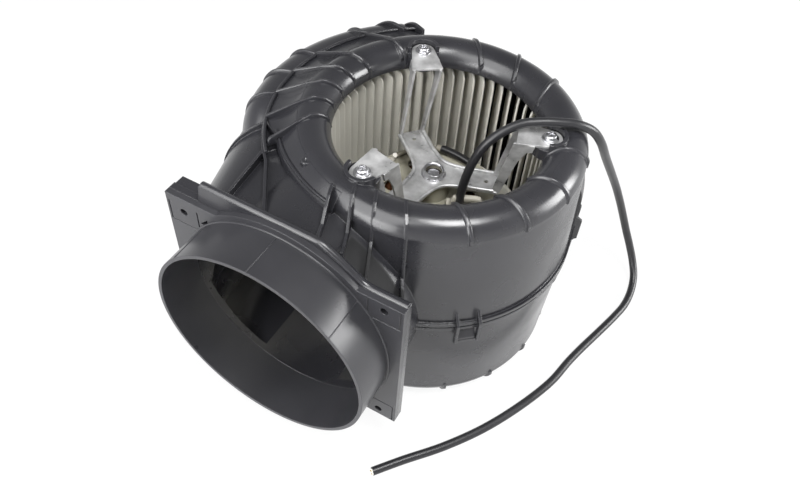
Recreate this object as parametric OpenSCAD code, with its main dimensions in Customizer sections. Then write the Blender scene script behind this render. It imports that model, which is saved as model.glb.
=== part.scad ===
// Double-inlet centrifugal blower of a range hood, with its motor hung in the upper inlet.
// The fan axis is Z, the casing stands on z = 0 and the air leaves towards -Y.

/* [Casing] */
// Height of the upper rim's middle over the seam
upper_rim_h = 73; // [70:0.5:78]
// Depth of the lower rim's middle under the seam
lower_rim_h = 79; // [74:0.5:84]
// Radius of the drum at the seam
drum_r = 99.5; // [98:0.5:104]
// Radius of the drum at its rims
drum_end_r = 96; // [95:0.5:98]
// Wall thickness of the mouldings
wall = 2.4; // [1.8:0.2:3]
// Radius of each air inlet
inlet_r = 68.5; // [66:0.5:69]

/* [Volute] */
// Radius of the volute's outer wall
volute_r = 117; // [113:1:121]
// Distance of the volute's centre from the fan axis
volute_shift = 19; // [16:0.5:21]
// Direction in which the volute's centre is shifted
volute_dir = 165; // [158:1:172]
// Height of the volute's roof over the seam
volute_h = 70; // [64:1:73]
// Rounding of the volute's shoulder
volute_round = 32; // [24:1:40]
// Direction at which the volute's wall turns straight to the outlet
volute_end = 195; // [190:1:200]

/* [Outlet] */
// Outer diameter of the outlet spigot, for a 150 mm duct
spigot_d = 150; // [140:1:152]
// Length of the outlet spigot
spigot_l = 30; // [20:1:45]
// Distance of the outlet's axis from the fan axis
outlet_x = 34.5; // [30:0.5:38]
// Distance of the flange's front face from the fan axis
flange_y = 128; // [124:1:134]
// Width of the flange
flange_w = 165; // [162:1:172]
// Height of the flange at its corners
flange_h = 122; // [116:1:128]
// Radius of the collar plate's arched top and bottom
flange_arch_r = 80; // [78:0.5:82]
// Thickness of the collar's plate
flange_t = 4; // [3:0.5:5]
// Thickness of the casing's flange behind it
seat_t = 5; // [4:0.5:6]
// Height of the casing flange's straight top over the seam
seat_top = 80; // [78:0.5:82]
// Height of the corner block's top over the seam
ear_top = 66; // [63:0.5:70]
// Depth of the corner block behind the flange
ear_l = 12; // [10:1:14]
// Spacing of the flange holes across
hole_dx = 140; // [136:1:144]
// Spacing of the flange holes in height
hole_dz = 109; // [104:1:112]
// Diameter of the flange holes
hole_d = 5.2; // [4:0.1:6]

/* [Ribs] */
// Thickness of the ribs
rib_t = 1.8; // [1.2:0.2:2.4]
// Height of the ribs on the rim
rib_rise = 1.5; // [0.8:0.1:1.8]
// Height of the fins on the volute's roof
fin_rise = 6; // [4:0.5:8]
// Radius of the ring rib on the volute's roof
ring_rib_r = 111.5; // [108:0.5:114]
// Height of the bead on each side of the seam
bead_h = 2.6; // [1.4:0.2:3]
// How far the bead stands out
bead_out = 1.8; // [1:0.2:2.4]
// Width of the snap latches
latch_w = 16.5; // [14:0.5:19]

/* [Impeller] */
// Number of blades
blade_count = 60; // [48:1:64]
// Inner radius of the blades
wheel_in_r = 70.5; // [70:0.5:72]
// Width of the wheel's end rings
ring_w = 2.6; // [2:0.2:3.4]
// Length of the wheel
wheel_l = 138; // [130:1:142]
// Thickness of a blade
blade_t = 1.4; // [1:0.1:1.8]
// Radius of a blade's curve
blade_bend = 13; // [11:0.5:15]
// Rounding of the blades' inner corners
blade_round = 6; // [3:0.5:8]

/* [Motor] */
// Diameter of the motor shaft
shaft_d = 8; // [6:0.5:9]
// Running clearance of the shaft in its bushes, on the radius
run_gap = 0.03; // [0.02:0.01:0.06]
// Outer diameter of the stator
stator_d = 86; // [80:1:90]
// Height of the stator's stack
stack_h = 26; // [20:1:30]
// Height of the stack's underside over the floor
stack_z = 78; // [76:1:82]
// Air gap between rotor and stator, on the radius
air_gap = 0.4; // [0.3:0.1:0.8]
// Diameter of the rotor
rotor_d = 46; // [40:1:50]
// Number of stator slots
slot_count = 24; // [18:2:24]

/* [Bracket] */
// Direction of the first arm
arm_dir = 20; // [12:1:24]
// Radius at which the arms are screwed down
boss_r = 70; // [69:0.5:72]
// Radius at which the arms turn upwards
arm_bend_r = 44; // [42:1:48]
// Sheet thickness of the bracket
sheet_t = 1.5; // [1:0.1:2]
// Height of the bracket's hub over the floor
bracket_z = 130; // [127:1:133]
// Width of an arm
arm_w = 19; // [16:1:21]
// Depth of the cheeks that carry an arm, at its end
cheek_w = 5.2; // [4:0.2:7]

/* [Cord] */
// Diameter of the mains cord
cord_d = 6; // [5:0.5:7]

/* [Hidden] */
$fn = 96;
eps = 0.01;

// Casing levels, counted from the seam
rim_bite = 0.25;
rim_mid_r = (inlet_r + drum_end_r) / 2;
rim_arch_r = (drum_end_r - inlet_r) / 2 + rim_bite;
rim_top = upper_rim_h + rim_arch_r;
seam_z = lower_rim_h + rim_arch_r + rib_rise;
room_h = lower_rim_h + 2 * rim_arch_r;
volute_c = volute_shift * [cos(volute_dir), sin(volute_dir)];
volute_start = 10;
chute_w = 70;
chute_bite = 3;
chute_drop = 0.4;
chute_lap = 8;

// Outlet planes
spigot_r = spigot_d / 2;
bore_r = spigot_r - wall;
seat_y = flange_y - flange_t;
back_y = seat_y - seat_t;
fit_gap = 0.3;
chute_l = flange_y + drum_r;

// Motor levels
stator_r = stator_d / 2;
rotor_r = rotor_d / 2;
shaft_r = shaft_d / 2;
stack_top = stack_z + stack_h;
shield_h = 11;
shield_t = 2.5;
shield_r = stator_r + 1.5;
skirt_over = 5;
upper_face = stack_top + shield_h;
lower_face = stack_z - shield_h;
neck_r = shaft_r + 3;
neck_h = 4;
bush_r = shaft_r + 2;
bush_l = 9;
seat_r = 12;
journal_r = shaft_r + 1;
washer_t = 1;
upper_bush_z = bracket_z - bush_l;
lower_bush_z = lower_face - 3;

module upper_half() { translate([0, 0, seam_z]) children(); }
module lower_half() { translate([0, 0, seam_z]) mirror([0, 0, 1]) children(); }
module at_angles(angles) { for (a = angles) rotate([0, 0, a]) children(); }
module upright_plate(from, to, t) {
    d = to - from;
    translate([from.x, from.y, 0]) rotate([0, 0, atan2(d.y, d.x)])
        translate([0, t / 2, 0]) rotate([90, 0, 0]) linear_extrude(t) children();
}

// Half section of the drum under a rim of height h, with its arched rim, shrunk by inset
module drum_profile(h, inset) {
    intersection() {
        polygon([[0, 0], [drum_r - inset, 0], [drum_end_r - inset, h], [drum_end_r - inset, room_h],
            [0, room_h]]);
        union() {
            translate([rim_mid_r, h]) circle(r = rim_arch_r - inset);
            square([drum_r, h]);
        }
    }
}

// Half section of the volute with its rounded shoulder
module volute_profile(r, h, round) {
    square([r - round, h]);
    square([r, h - round]);
    translate([r - round, h - round]) circle(r = round);
}
module volute_form(r, h, round) {
    translate(volute_c) rotate([0, 0, volute_start])
        rotate_extrude(angle = volute_end + chute_lap - volute_start) volute_profile(r, h, round);
    intersection() {
        translate(volute_c) rotate([0, 0, volute_end]) translate([0, chute_l, 0]) rotate([90, 0, 0])
            linear_extrude(chute_l) intersection() {
                volute_profile(r * cos(chute_bite), h - chute_drop, round);
                translate([volute_r - chute_w, 0]) square([2 * chute_w, room_h]);
            }
        translate([-chute_l, -back_y, 0]) cube([2 * chute_l, 2 * chute_l, room_h]);
    }
}
module barrel_form(r, from_y, to_y) {
    translate([-outlet_x, -to_y, 0]) rotate([90, 0, 0]) linear_extrude(from_y - to_y)
        intersection() {
            circle(r = r);
            translate([-r, 0]) square([2 * r, r]);
        }
}

// The air space of one half of the casing
module air_space(h) {
    rotate_extrude() drum_profile(h, wall);
    volute_form(volute_r - wall, volute_h - wall, volute_round - wall);
    barrel_form(bore_r, flange_y, inlet_r - rim_arch_r / 2);
    translate([0, 0, h - wall]) cylinder(r = inlet_r, h = room_h - h);
}

// What the ribs may rise to
fin_round = 8;
rib_tail = 0.9;
module rib_limit(h) {
    rotate_extrude() intersection() {
        translate([rim_mid_r, h]) circle(r = rim_arch_r + rib_rise);
        translate([inlet_r, h + rib_tail]) square([drum_end_r + rib_tail - inlet_r, room_h]);
    }
    volute_form(volute_r + rib_t, volute_h + fin_rise, volute_round + fin_round);
}

// A rib that starts at the inlet in direction dir and leans forward by lean
rib_start = 1;
rib_foot = volute_h - volute_round - 1;
rib_pitch = 21.5;
fin_pitch = 12.25;
module rim_rib(dir, lean, l) {
    rotate([0, 0, dir]) translate([inlet_r + rib_start, 0, 0]) rotate([0, 0, lean])
        translate([0, -rib_t / 2, rib_foot]) cube([l, rib_t, room_h]);
}
module rim_ribs() {
    for (i = [0 : 3]) rim_rib(-56 + rib_pitch * i, 17, 34);
    for (i = [0 : 2]) rim_rib(50 + rib_pitch * i, 34, 44);
}
fin_dir = 160;
fin_l = 92;
module volute_fins() {
    rim_rib(fin_dir - 1.7 * fin_pitch, 11, fin_l);
    for (i = [0 : 3]) rim_rib(fin_dir + fin_pitch * i, 21 + 2 * i, fin_l);
    rim_rib(fin_dir + fin_pitch * 4, 28, fin_l / 2);
    upright_plate([-83, -72], [-79, -back_y], rib_t) square([volute_r / 2, room_h]);
}
ring_from = 140;
ring_to = 227;
module ring_rib() {
    end = ring_rib_r * [cos(ring_to), sin(ring_to)];
    rotate([0, 0, ring_from]) rotate_extrude(angle = ring_to - ring_from)
        translate([ring_rib_r - rib_t / 2, rib_foot]) square([rib_t, room_h]);
    upright_plate(end, [-outlet_x - 16, -back_y], rib_t) square([volute_r / 2, room_h]);
}

// Webs from the drum to the flange, beside the outlet
web_heads = [[-25, -86], [-14.5, -77], [0, -78], [18, -76]];
web_feet_x = [-14, 1.8, 17.7, 43.5];
web_top = rim_top + 1.3;
// Each web's top edge: share of its length from the rim, and drop below web_top
web_edges = [[[0, 1.3], [0.25, 2.3], [0.46, 5.3], [0.7, 10.3], [1, 9.3]],
    [[0, 0], [0.25, 0.8], [0.4, 4.3], [0.5, 10.3], [0.62, 15.8], [0.85, 15.8], [1, 13.3]],
    [[0, 0], [0.2, 0.8], [0.32, 3.3], [0.42, 10.3], [0.47, 21.3], [0.8, 27.3], [1, 28.3]],
    [[0, 0], [0.2, 1], [0.3, 4.3], [0.38, 12.3], [0.44, 44.3], [0.75, 48.3], [1, 33.3]]];
module outlet_webs() {
    for (i = [0 : 3]) {
        foot = [web_feet_x[i], -back_y];
        l = norm(foot - web_heads[i]);
        edge = [for (p = web_edges[i]) [p[0] * l, web_top - p[1]]];
        upright_plate(web_heads[i], foot, rib_t) polygon(concat([[l, 0], [0, 0]], edge));
    }
}

// Outline of the casing's flange over the seam, with its straight top and its ears
ear_w = 38;
ear_z = 30;
seat_left = 58;
seat_right = 24;
module seat_outline() {
    polygon([[-flange_w / 2, 0], [-flange_w / 2, ear_top], [-seat_left - wall, ear_top],
        [-seat_left, seat_top], [seat_right, seat_top], [0.57 * flange_arch_r, 0.84 * flange_arch_r],
        [0.68 * flange_arch_r, flange_h / 2], [flange_w / 2, flange_h / 2], [flange_w / 2, 0]]);
}
module ear_outline(inset) {
    translate([-flange_w / 2 + inset, ear_z]) square([ear_w, ear_top - ear_z - inset]);
}
module flange_holes(d) {
    for (x = [-1, 1], z = [-1, 1]) translate([x * hole_dx / 2, z * hole_dz / 2]) circle(d = d);
}
module on_outlet(y, t) { translate([-outlet_x, -y + t, 0]) rotate([90, 0, 0]) linear_extrude(t) children(); }
module casing_flange() {
    on_outlet(seat_y, seat_t) seat_outline();
    on_outlet(seat_y - 1, ear_l - 1) ear_outline(0.5);
}

// Bosses that carry the bracket, open towards the inlet
boss_out_r = 11;
boss_floor = rim_top - 3;
boss_wall_h = 5;
boss_top = boss_floor + boss_wall_h;
boss_base = upper_rim_h + 3;
tab_z = seam_z + boss_floor;
tab_dirs = [17, 127, 257];
screw_d = 4;
module at_bosses() { at_angles(tab_dirs) translate([boss_r, 0, 0]) children(); }
module bosses() {
    at_bosses() translate([0, 0, boss_base]) cylinder(r = boss_out_r, h = boss_top - boss_base);
}
module boss_recesses() {
    at_bosses() {
        translate([0, 0, boss_floor]) cylinder(r = boss_out_r - wall, h = boss_wall_h + 1);
        translate([-2 * boss_out_r, -boss_out_r - 1, boss_floor])
            cube([2 * boss_out_r, 2 * boss_out_r + 2, boss_wall_h + 1]);
        translate([0, 0, boss_base - 1]) cylinder(d = screw_d, h = boss_out_r);
    }
}

// Snap latches at the seam: a loop on the upper moulding over a wedge on the lower one
latch_out = 6;
latch_t = 2;
latch_up = 12;
latch_down = 14;
drum_latches = [-48];
volute_latches = [22, 62, 118, 176];
module at_latches() {
    for (a = drum_latches) rotate([0, 0, a]) translate([drum_r, 0, 0]) children();
    for (a = volute_latches) translate(volute_c) rotate([0, 0, a]) translate([volute_r, 0, 0]) children();
}
module latch_loop() {
    foot = bead_out + fit_gap;
    for (s = [-1, 1]) translate([0, s * (latch_w - latch_t) / 2, 0]) rotate([90, 0, 0])
        linear_extrude(latch_t, center = true)
            polygon([[-wall / 2, fit_gap], [foot, fit_gap], [foot, -latch_down],
                [latch_out, latch_t - latch_down], [latch_out, latch_up / 2], [-wall / 2, latch_up]]);
    translate([foot, -latch_w / 2, -latch_down]) cube([latch_t, latch_w, latch_t]);
}
module latch_wedge() {
    half_w = latch_w / 2 - latch_t - fit_gap;
    translate([-wall / 2, half_w, 0]) rotate([90, 0, 0]) linear_extrude(2 * half_w)
        polygon([[0, 1], [wall / 2, bead_h + 2], [latch_out - 1, latch_down - latch_t - 2],
            [latch_out - 1, latch_down - latch_t - fit_gap], [0, latch_down - latch_t - fit_gap]]);
}

// Bead along the seam
bead_gap = 0.6;
module seam_bead() {
    translate([0, 0, bead_gap]) cylinder(r = drum_r + bead_out, h = bead_h);
    translate(concat(volute_c, bead_gap)) rotate([0, 0, volute_start])
        rotate_extrude(angle = volute_end - volute_start) square([volute_r + bead_out, bead_h]);
}

module casing_half(h) {
    difference() {
        union() {
            rotate_extrude() drum_profile(h, 0);
            volute_form(volute_r, volute_h, volute_round);
            barrel_form(spigot_r, back_y, inlet_r);
            casing_flange();
            outlet_webs();
            seam_bead();
            intersection() {
                union() {
                    rim_ribs();
                    volute_fins();
                    ring_rib();
                }
                rib_limit(h);
            }
            children();
        }
        air_space(h);
        on_outlet(seat_y + 1, ear_l + 0.5) flange_holes(hole_d);
    }
}

module upper_housing() {
    color([0.29, 0.29, 0.31]) upper_half() difference() {
        union() {
            casing_half(upper_rim_h) at_latches() latch_loop();
            bosses();
        }
        boss_recesses();
    }
}
module lower_housing() {
    color([0.29, 0.29, 0.31]) lower_half() casing_half(lower_rim_h) at_latches() latch_wedge();
}

// Collar with its plate, spigot and screw pads
pad_w = 22;
pad_line = 0.9;
pad_cut = 0.6;
vent_w = 6;
module pad_lines() {
    for (x = [-1, 1], z = [-1, 1]) translate([x * hole_dx / 2, z * hole_dz / 2]) difference() {
        square(pad_w, center = true);
        square(pad_w - 2 * pad_line, center = true);
    }
}
module outlet_collar() {
    color([0.28, 0.28, 0.3]) translate([0, 0, seam_z]) difference() {
        union() {
            on_outlet(flange_y, flange_t) {
                square([flange_w, flange_h], center = true);
                circle(r = flange_arch_r);
                ear_outline(0);
            }
            on_outlet(flange_y + spigot_l, spigot_l + 1) circle(r = spigot_r);
        }
        on_outlet(flange_y + spigot_l + 1, spigot_l + flange_t + 2) circle(r = bore_r);
        on_outlet(flange_y + 1, flange_t + 2) {
            flange_holes(hole_d);
            translate([2 * vent_w - hole_dx / 2, (hole_dz - vent_w) / 2])
                polygon([[0, 0], [vent_w, 0], [vent_w, vent_w]]);
        }
        on_outlet(flange_y + 1, 1 + pad_cut) intersection() {
            pad_lines();
            difference() {
                square([flange_w - 2, flange_h - 2], center = true);
                circle(r = spigot_r + 1);
            }
        }
    }
}

// Wheel
wheel_z = seam_z - wheel_l / 2;
ring_h = 5;
disc_t = 2.5;
disc_z = 56;
dish_r = 52;
dish_z = 83.5;
hub_r = 13;
hub_flange_r = 22;
hub_z = 50;
hub_top = lower_bush_z - washer_t - 0.2;
nut_h = 6.5;
nut_flats = 13;
blade_span = 69;
blade_lean = 7;
bond = 0.1;
blade_c = [wheel_in_r + blade_bend * sin(blade_lean), blade_bend * cos(blade_lean)];
blade_end = blade_span - 90 - blade_lean;
blade_tip_r = norm(blade_c + (blade_bend + blade_t / 2) * [cos(blade_end), sin(blade_end)]);
ring_in_r = blade_tip_r + bond / 2;
wheel_out_r = ring_in_r + ring_w;
disc_r = wheel_in_r - 2 * bond;
module blade() {
    translate(concat(blade_c, wheel_z)) rotate([0, 0, -90 - blade_lean]) rotate_extrude(angle = blade_span)
        translate([blade_bend - blade_t / 2, 0]) square([blade_t, wheel_l]);
}
// Space round the inner corner of the blades at one end
module blade_corner() {
    rotate_extrude() difference() {
        translate([wheel_in_r - blade_round, -1]) square([2 * blade_round, blade_round + 1]);
        translate([wheel_in_r + blade_round - 1, blade_round - 0.5]) circle(r = blade_round);
        translate([wheel_in_r + blade_round - 1, -2]) square(2 * blade_round);
    }
}
module impeller_blades() {
    color([0.65, 0.64, 0.59]) difference() {
        at_angles([for (i = [0 : blade_count - 1]) 360 * i / blade_count]) blade();
        translate([0, 0, wheel_z]) blade_corner();
        translate([0, 0, wheel_z + wheel_l]) mirror([0, 0, 1]) blade_corner();
    }
}
module wheel_rings() {
    color([0.65, 0.64, 0.59]) for (z = [wheel_z, wheel_z + wheel_l - ring_h])
        ring(ring_in_r, wheel_out_r, z, ring_h);
}
module wheel_disc() {
    color([0.65, 0.64, 0.59]) rotate_extrude() polygon([[hub_r, disc_z], [dish_r, disc_z], [disc_r, dish_z],
        [disc_r, dish_z + disc_t], [disc_r - disc_t, dish_z + disc_t], [dish_r - disc_t / 2, disc_z + disc_t],
        [hub_r, disc_z + disc_t]]);
}
module impeller_hub() {
    color([0.72, 0.72, 0.74]) difference() {
        union() {
            translate([0, 0, hub_z]) cylinder(r = hub_r, h = hub_top - hub_z);
            translate([0, 0, disc_z + disc_t]) cylinder(r = hub_flange_r, h = 3);
        }
        translate([0, 0, hub_z - 1]) cylinder(r = shaft_r, h = hub_top);
    }
}
module hub_nut() {
    color([0.7, 0.7, 0.72]) difference() {
        translate([0, 0, hub_z - nut_h]) cylinder(d = nut_flats / cos(30), h = nut_h, $fn = 6);
        translate([0, 0, hub_z - nut_h - 1]) cylinder(r = shaft_r, h = nut_h + 2);
    }
}

// Motor
shoulder_low = lower_bush_z + bush_l + washer_t;
shoulder_high = upper_bush_z - washer_t;
module ring(r_in, r_out, z, h) {
    translate([0, 0, z]) rotate_extrude() translate([r_in, 0]) square([r_out - r_in, h]);
}
module motor_shaft() {
    color([0.75, 0.75, 0.77]) {
        translate([0, 0, hub_z - nut_h - 2]) cylinder(r = shaft_r, h = bracket_z + 2 - hub_z + nut_h + 2);
        translate([0, 0, shoulder_low]) cylinder(r = journal_r, h = shoulder_high - shoulder_low);
    }
}
cage_h = 4;
module rotor_core() {
    color([0.45, 0.45, 0.47]) ring(journal_r, rotor_r, stack_z, stack_h);
}
module rotor_cage() {
    color([0.8, 0.8, 0.82]) for (z = [stack_z - cage_h, stack_top]) ring(rotor_r - 9, rotor_r - 1, z, cage_h);
}
slot_w = 3;
slot_in_r = rotor_r + air_gap + 1.5;
slot_out_r = 34;
bolt_r = 39.3;
bolt_d = 3;
bolt_dirs = [for (i = [0 : 2]) arm_dir + 60 + 120 * i];
module bolt_holes(d, z, h) {
    at_angles(bolt_dirs) translate([bolt_r, 0, z]) cylinder(d = d, h = h);
}
module stator_core() {
    color([0.5, 0.5, 0.53]) difference() {
        translate([0, 0, stack_z]) linear_extrude(stack_h) difference() {
            circle(r = stator_r);
            circle(r = rotor_r + air_gap);
            for (i = [0 : slot_count - 1]) rotate([0, 0, 360 * i / slot_count]) {
                translate([slot_in_r, -slot_w / 2]) square([slot_out_r - slot_in_r, slot_w]);
                translate([rotor_r, -0.6]) square([slot_in_r - rotor_r + 0.5, 1.2]);
            }
        }
        bolt_holes(bolt_d + 0.4, stack_z - 1, stack_h + 2);
    }
}
liner_t = 1.2;
coil_h = 6;
coil_in_r = 26.5;
coil_out_r = 33.5;
module coil_bundle(z) {
    translate([0, 0, z]) rotate_extrude() {
        translate([coil_in_r, 0]) square([coil_out_r - coil_in_r, coil_h - 3]);
        translate([coil_in_r + 2.5, 0]) square([coil_out_r - coil_in_r - 5, coil_h]);
    }
}
module stator_windings() {
    color([0.65, 0.35, 0.2]) {
        coil_bundle(stack_top + liner_t);
        translate([0, 0, stack_z - liner_t]) mirror([0, 0, 1]) coil_bundle(0);
        for (i = [0 : slot_count - 1]) rotate([0, 0, 360 * i / slot_count])
            translate([slot_in_r + 0.5, 0.3 - slot_w / 2, stack_z - liner_t - 1])
                cube([slot_out_r - slot_in_r - 1, slot_w - 0.6, stack_h + 2 * liner_t + 2]);
    }
}
module bobbin() {
    difference() {
        union() {
            ring(slot_in_r - 0.5, slot_out_r + 2.5, 0, liner_t);
            ring(coil_out_r + 0.3, coil_out_r + 1.8, 0, coil_h - 1);
        }
        for (i = [0 : slot_count - 1]) rotate([0, 0, 360 * i / slot_count])
            translate([slot_in_r - 1, -slot_w / 2, -1])
                cube([slot_out_r - slot_in_r + 0.7, slot_w, liner_t + 2]);
    }
}
module upper_bobbin() { color([0.85, 0.83, 0.76]) translate([0, 0, stack_top]) bobbin(); }
module lower_bobbin() { color([0.85, 0.83, 0.76]) translate([0, 0, stack_z]) mirror([0, 0, 1]) bobbin(); }

// Cup over one end of the stator, counted from the end of the stack
vent_r = 6.5;
vent_pcd_r = 27;
module end_shield(seat_h, bush_z) {
    difference() {
        union() {
            ring(stator_r, shield_r, -skirt_over, shield_h + skirt_over);
            ring(stator_r - 6, shield_r, 0, shield_h);
            translate([0, 0, shield_h - shield_t]) cylinder(r = shield_r, h = shield_t);
            translate([0, 0, shield_h - shield_t]) cylinder(r = seat_r, h = seat_h - shield_h + shield_t);
            children();
        }
        translate([0, 0, bush_z]) cylinder(r = bush_r, h = bush_l + eps);
        translate([0, 0, shield_h - shield_t - 1]) cylinder(r = journal_r + 1, h = seat_h + 20);
        at_angles([for (i = [0 : 5]) arm_dir + 60 * i]) translate([vent_pcd_r, 0, 0])
            cylinder(r = vent_r, h = shield_h + 1);
        bolt_holes(bolt_d, -1, shield_h + 2);
    }
}
module upper_end_shield() {
    color([0.74, 0.72, 0.65]) translate([0, 0, stack_top])
        end_shield(bracket_z - stack_top, upper_bush_z - stack_top)
            translate([0, 0, shield_h]) cylinder(r = neck_r, h = bracket_z + neck_h - upper_face);
}
module lower_end_shield() {
    color([0.74, 0.72, 0.65]) translate([0, 0, stack_z]) mirror([0, 0, 1])
        end_shield(stack_z - lower_bush_z, stack_z - lower_bush_z - bush_l);
}
module upper_bush() { color([0.72, 0.6, 0.35]) ring(shaft_r + run_gap, bush_r, upper_bush_z, bush_l); }
module lower_bush() { color([0.72, 0.6, 0.35]) ring(shaft_r + run_gap, bush_r, lower_bush_z, bush_l); }
module thrust_washers() {
    color([0.3, 0.25, 0.2]) for (z = [shoulder_low - washer_t + fit_gap, shoulder_high])
        ring(shaft_r, journal_r + 0.8, z, washer_t - fit_gap);
}
module motor_bolts() {
    color([0.7, 0.7, 0.72]) {
        bolt_holes(bolt_d, lower_face, upper_face - lower_face - 1);
        bolt_holes(bolt_d + 2.6, lower_face - 2, 2);
    }
}

// Bracket
arm_root = 8;
edge_h = 3;
tab_in_r = 50;
tab_in_w = 21;
tab_r = 8;
pilot_d = 3;
hub_plate_r = 14;
arm_dirs = [for (i = [0 : 2]) arm_dir + 120 * i];
function turned(dir, p) = [p.x * cos(dir) - p.y * sin(dir), p.x * sin(dir) + p.y * cos(dir), p.z];
// A cheek stands between an arm's corner and a tab's corner, turned to face along the arm
cheek_lip = 4;
module cheek(from, to, dir) {
    d = to - from;
    l = norm(d);
    tilt = acos(d.z / l);
    swing = atan2(d.y, d.x);
    turn = atan2(sin(dir - swing), cos(tilt) * cos(dir - swing));
    w = cheek_w / 2;
    intersection() {
        translate(from) rotate([0, tilt, swing]) rotate([0, 0, turn]) rotate([90, 0, 0])
            linear_extrude(sheet_t, center = true)
                polygon([[-w, -w], [w, -w], [1.7 * w, 0.7 * l], [2.7 * w, l - 1.3 * cheek_lip],
                    [3.9 * w, l - cheek_lip], [3.9 * w, l + w], [-1.2 * w, l + w]]);
        translate([0, 0, from.z]) cylinder(r = boss_r, h = d.z);
    }
}
module bracket_arm(i) {
    rotate([0, 0, arm_dirs[i]]) {
        difference() {
            translate([arm_root, -arm_w / 2, bracket_z]) cube([arm_bend_r - arm_root, arm_w, sheet_t]);
            translate([arm_bend_r - arm_root, 0, bracket_z - 1]) cylinder(d = pilot_d, h = sheet_t + 2);
        }
        for (side = [-1, 1]) translate([hub_plate_r, side * (arm_w - sheet_t) / 2 - sheet_t / 2, bracket_z])
            cube([arm_bend_r - hub_plate_r - cheek_w, sheet_t, edge_h]);
    }
    for (side = [-1, 1]) {
        low_y = side * (arm_w / 2 - sheet_t);
        high_y = side * (tab_in_w / 2 - sheet_t);
        cheek(turned(arm_dirs[i], [arm_bend_r - sheet_t, low_y, bracket_z + sheet_t / 3]),
            turned(tab_dirs[i], [tab_in_r + sheet_t, high_y, tab_z + sheet_t / 2]), tab_dirs[i]);
    }
    rotate([0, 0, tab_dirs[i]]) translate([0, 0, tab_z]) linear_extrude(sheet_t) difference() {
        union() {
            polygon([[tab_in_r, -tab_in_w / 2], [boss_r, -tab_r], [boss_r, tab_r], [tab_in_r, tab_in_w / 2]]);
            translate([boss_r, 0]) circle(r = tab_r);
        }
        translate([boss_r, 0]) circle(d = screw_d + 0.4);
    }
}
module motor_bracket() {
    color([0.7, 0.7, 0.72]) difference() {
        union() {
            translate([0, 0, bracket_z]) cylinder(r = hub_plate_r, h = sheet_t);
            for (i = [0 : 2]) bracket_arm(i);
        }
        translate([0, 0, bracket_z - 1]) cylinder(r = neck_r, h = sheet_t + 2);
    }
}
lock_t = 1.2;
lock_r = 5.5;
module bracket_washers() {
    color([0.75, 0.75, 0.77]) at_bosses() ring(screw_d / 2 + 0.2, lock_r, tab_z + sheet_t, lock_t);
}
head_h = 2.6;
screw_l = 2 * screw_d;
head_r = 3.8;
module bracket_screws() {
    z = tab_z + sheet_t + lock_t;
    color([0.75, 0.75, 0.77]) at_bosses() {
        translate([0, 0, z]) cylinder(r1 = head_r, r2 = 0.8 * head_r, h = head_h);
        translate([0, 0, z - screw_l]) cylinder(d = screw_d, h = screw_l + eps);
    }
}

// Connection
block_c = [25, -9];
block_l = 17;
block_w = 12;
block_h = 7;
block_dir = 26;
module on_block() { translate(concat(block_c, upper_face)) rotate([0, 0, block_dir]) children(); }
pin_d = 2.4;
pin_x = 6;
pin_y = -2;
module at_pins() { for (side = [-1, 1]) translate([side * pin_x, pin_y, 1]) children(); }
module terminal_block() {
    color([0.74, 0.72, 0.66]) on_block() difference() {
        translate([-block_l / 2, -block_w / 2, 0]) cube([block_l, block_w, block_h]);
        translate([0, 0, block_h - 3]) cylinder(d = cord_d, h = 4);
        at_pins() cylinder(d = pin_d, h = block_h);
    }
}
module terminal_screws() {
    color([0.75, 0.7, 0.5]) on_block() at_pins() cylinder(d = pin_d, h = block_h - 1.8);
}
sleeve_d = 5;
sleeve_l = 27;
module lead_sleeve() {
    color([0.1, 0.1, 0.1]) translate([-14, 36.5, upper_face + sleeve_d / 2]) rotate([0, 90, 0])
        cylinder(d = sleeve_d, h = sleeve_l);
}

// Mains cord, from the terminal block over the rim to its cut end on the floor
cord_route = [[25, -9, 119], [25, -9, 126], [25, -8, 136], [26, -6, 148], [28, -2, 160], [32, 3, 171],
    [39, 9, 180], [48, 16, 186], [58, 22, 188], [68, 28, 188], [78, 35, 186], [87, 43, 179], [93, 51, 166],
    [97, 66, 143], [102, 83, 117], [107, 96, 95], [113, 104, 75], [119, 109, 57], [125, 111, 42],
    [132, 110, 29], [139, 106, 18], [145, 98, 10], [148, 86, 5], [148, 72, 3], [145, 57, 3], [141, 42, 3],
    [137, 28, 3], [133, 14, 3], [129, -2, 3], [124, -26, 3], [113, -55, 3], [98, -85, 3], [80, -112, 3],
    [61, -135, 3], [47, -153, 3]];
cord_sides = 10;
cord_steps = 2;
function spline(a, b, c, d, t) = 0.5 * ((2 * b) + (c - a) * t + (2 * a - 5 * b + 4 * c - d) * t * t
    + (3 * b - a - 3 * c + d) * t * t * t);
function knot(i) = cord_route[max(0, min(len(cord_route) - 1, i))];
function cord_path() = [for (i = [0 : len(cord_route) - 2], k = [0 : cord_steps - 1])
    spline(knot(i - 1), knot(i), knot(i + 1), knot(i + 2), k / cord_steps), knot(len(cord_route) - 1)];
function unit(v) = v / norm(v);
function cord_ring(path, i) =
    let(t = unit(path[min(i + 1, len(path) - 1)] - path[max(i - 1, 0)]),
        side = unit(cross(t, [0.3, -0.9, 0.31])), up = cross(side, t))
    [for (k = [0 : cord_sides - 1]) path[i] + cord_d / 2 * (cos(360 * k / cord_sides) * side
        + sin(360 * k / cord_sides) * up)];
module mains_cord() {
    path = cord_path();
    n = len(path);
    points = [for (i = [0 : n - 1]) each cord_ring(path, i)];
    walls = [for (i = [0 : n - 2], k = [0 : cord_sides - 1]) let(a = i * cord_sides, b = (k + 1) % cord_sides)
        [a + k, a + b, a + cord_sides + b, a + cord_sides + k]];
    ends = [[for (k = [0 : cord_sides - 1]) cord_sides - 1 - k],
        [for (k = [0 : cord_sides - 1]) (n - 1) * cord_sides + k]];
    color([0.12, 0.12, 0.12]) polyhedron(points, concat(walls, ends), convexity = 10);
}

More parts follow.
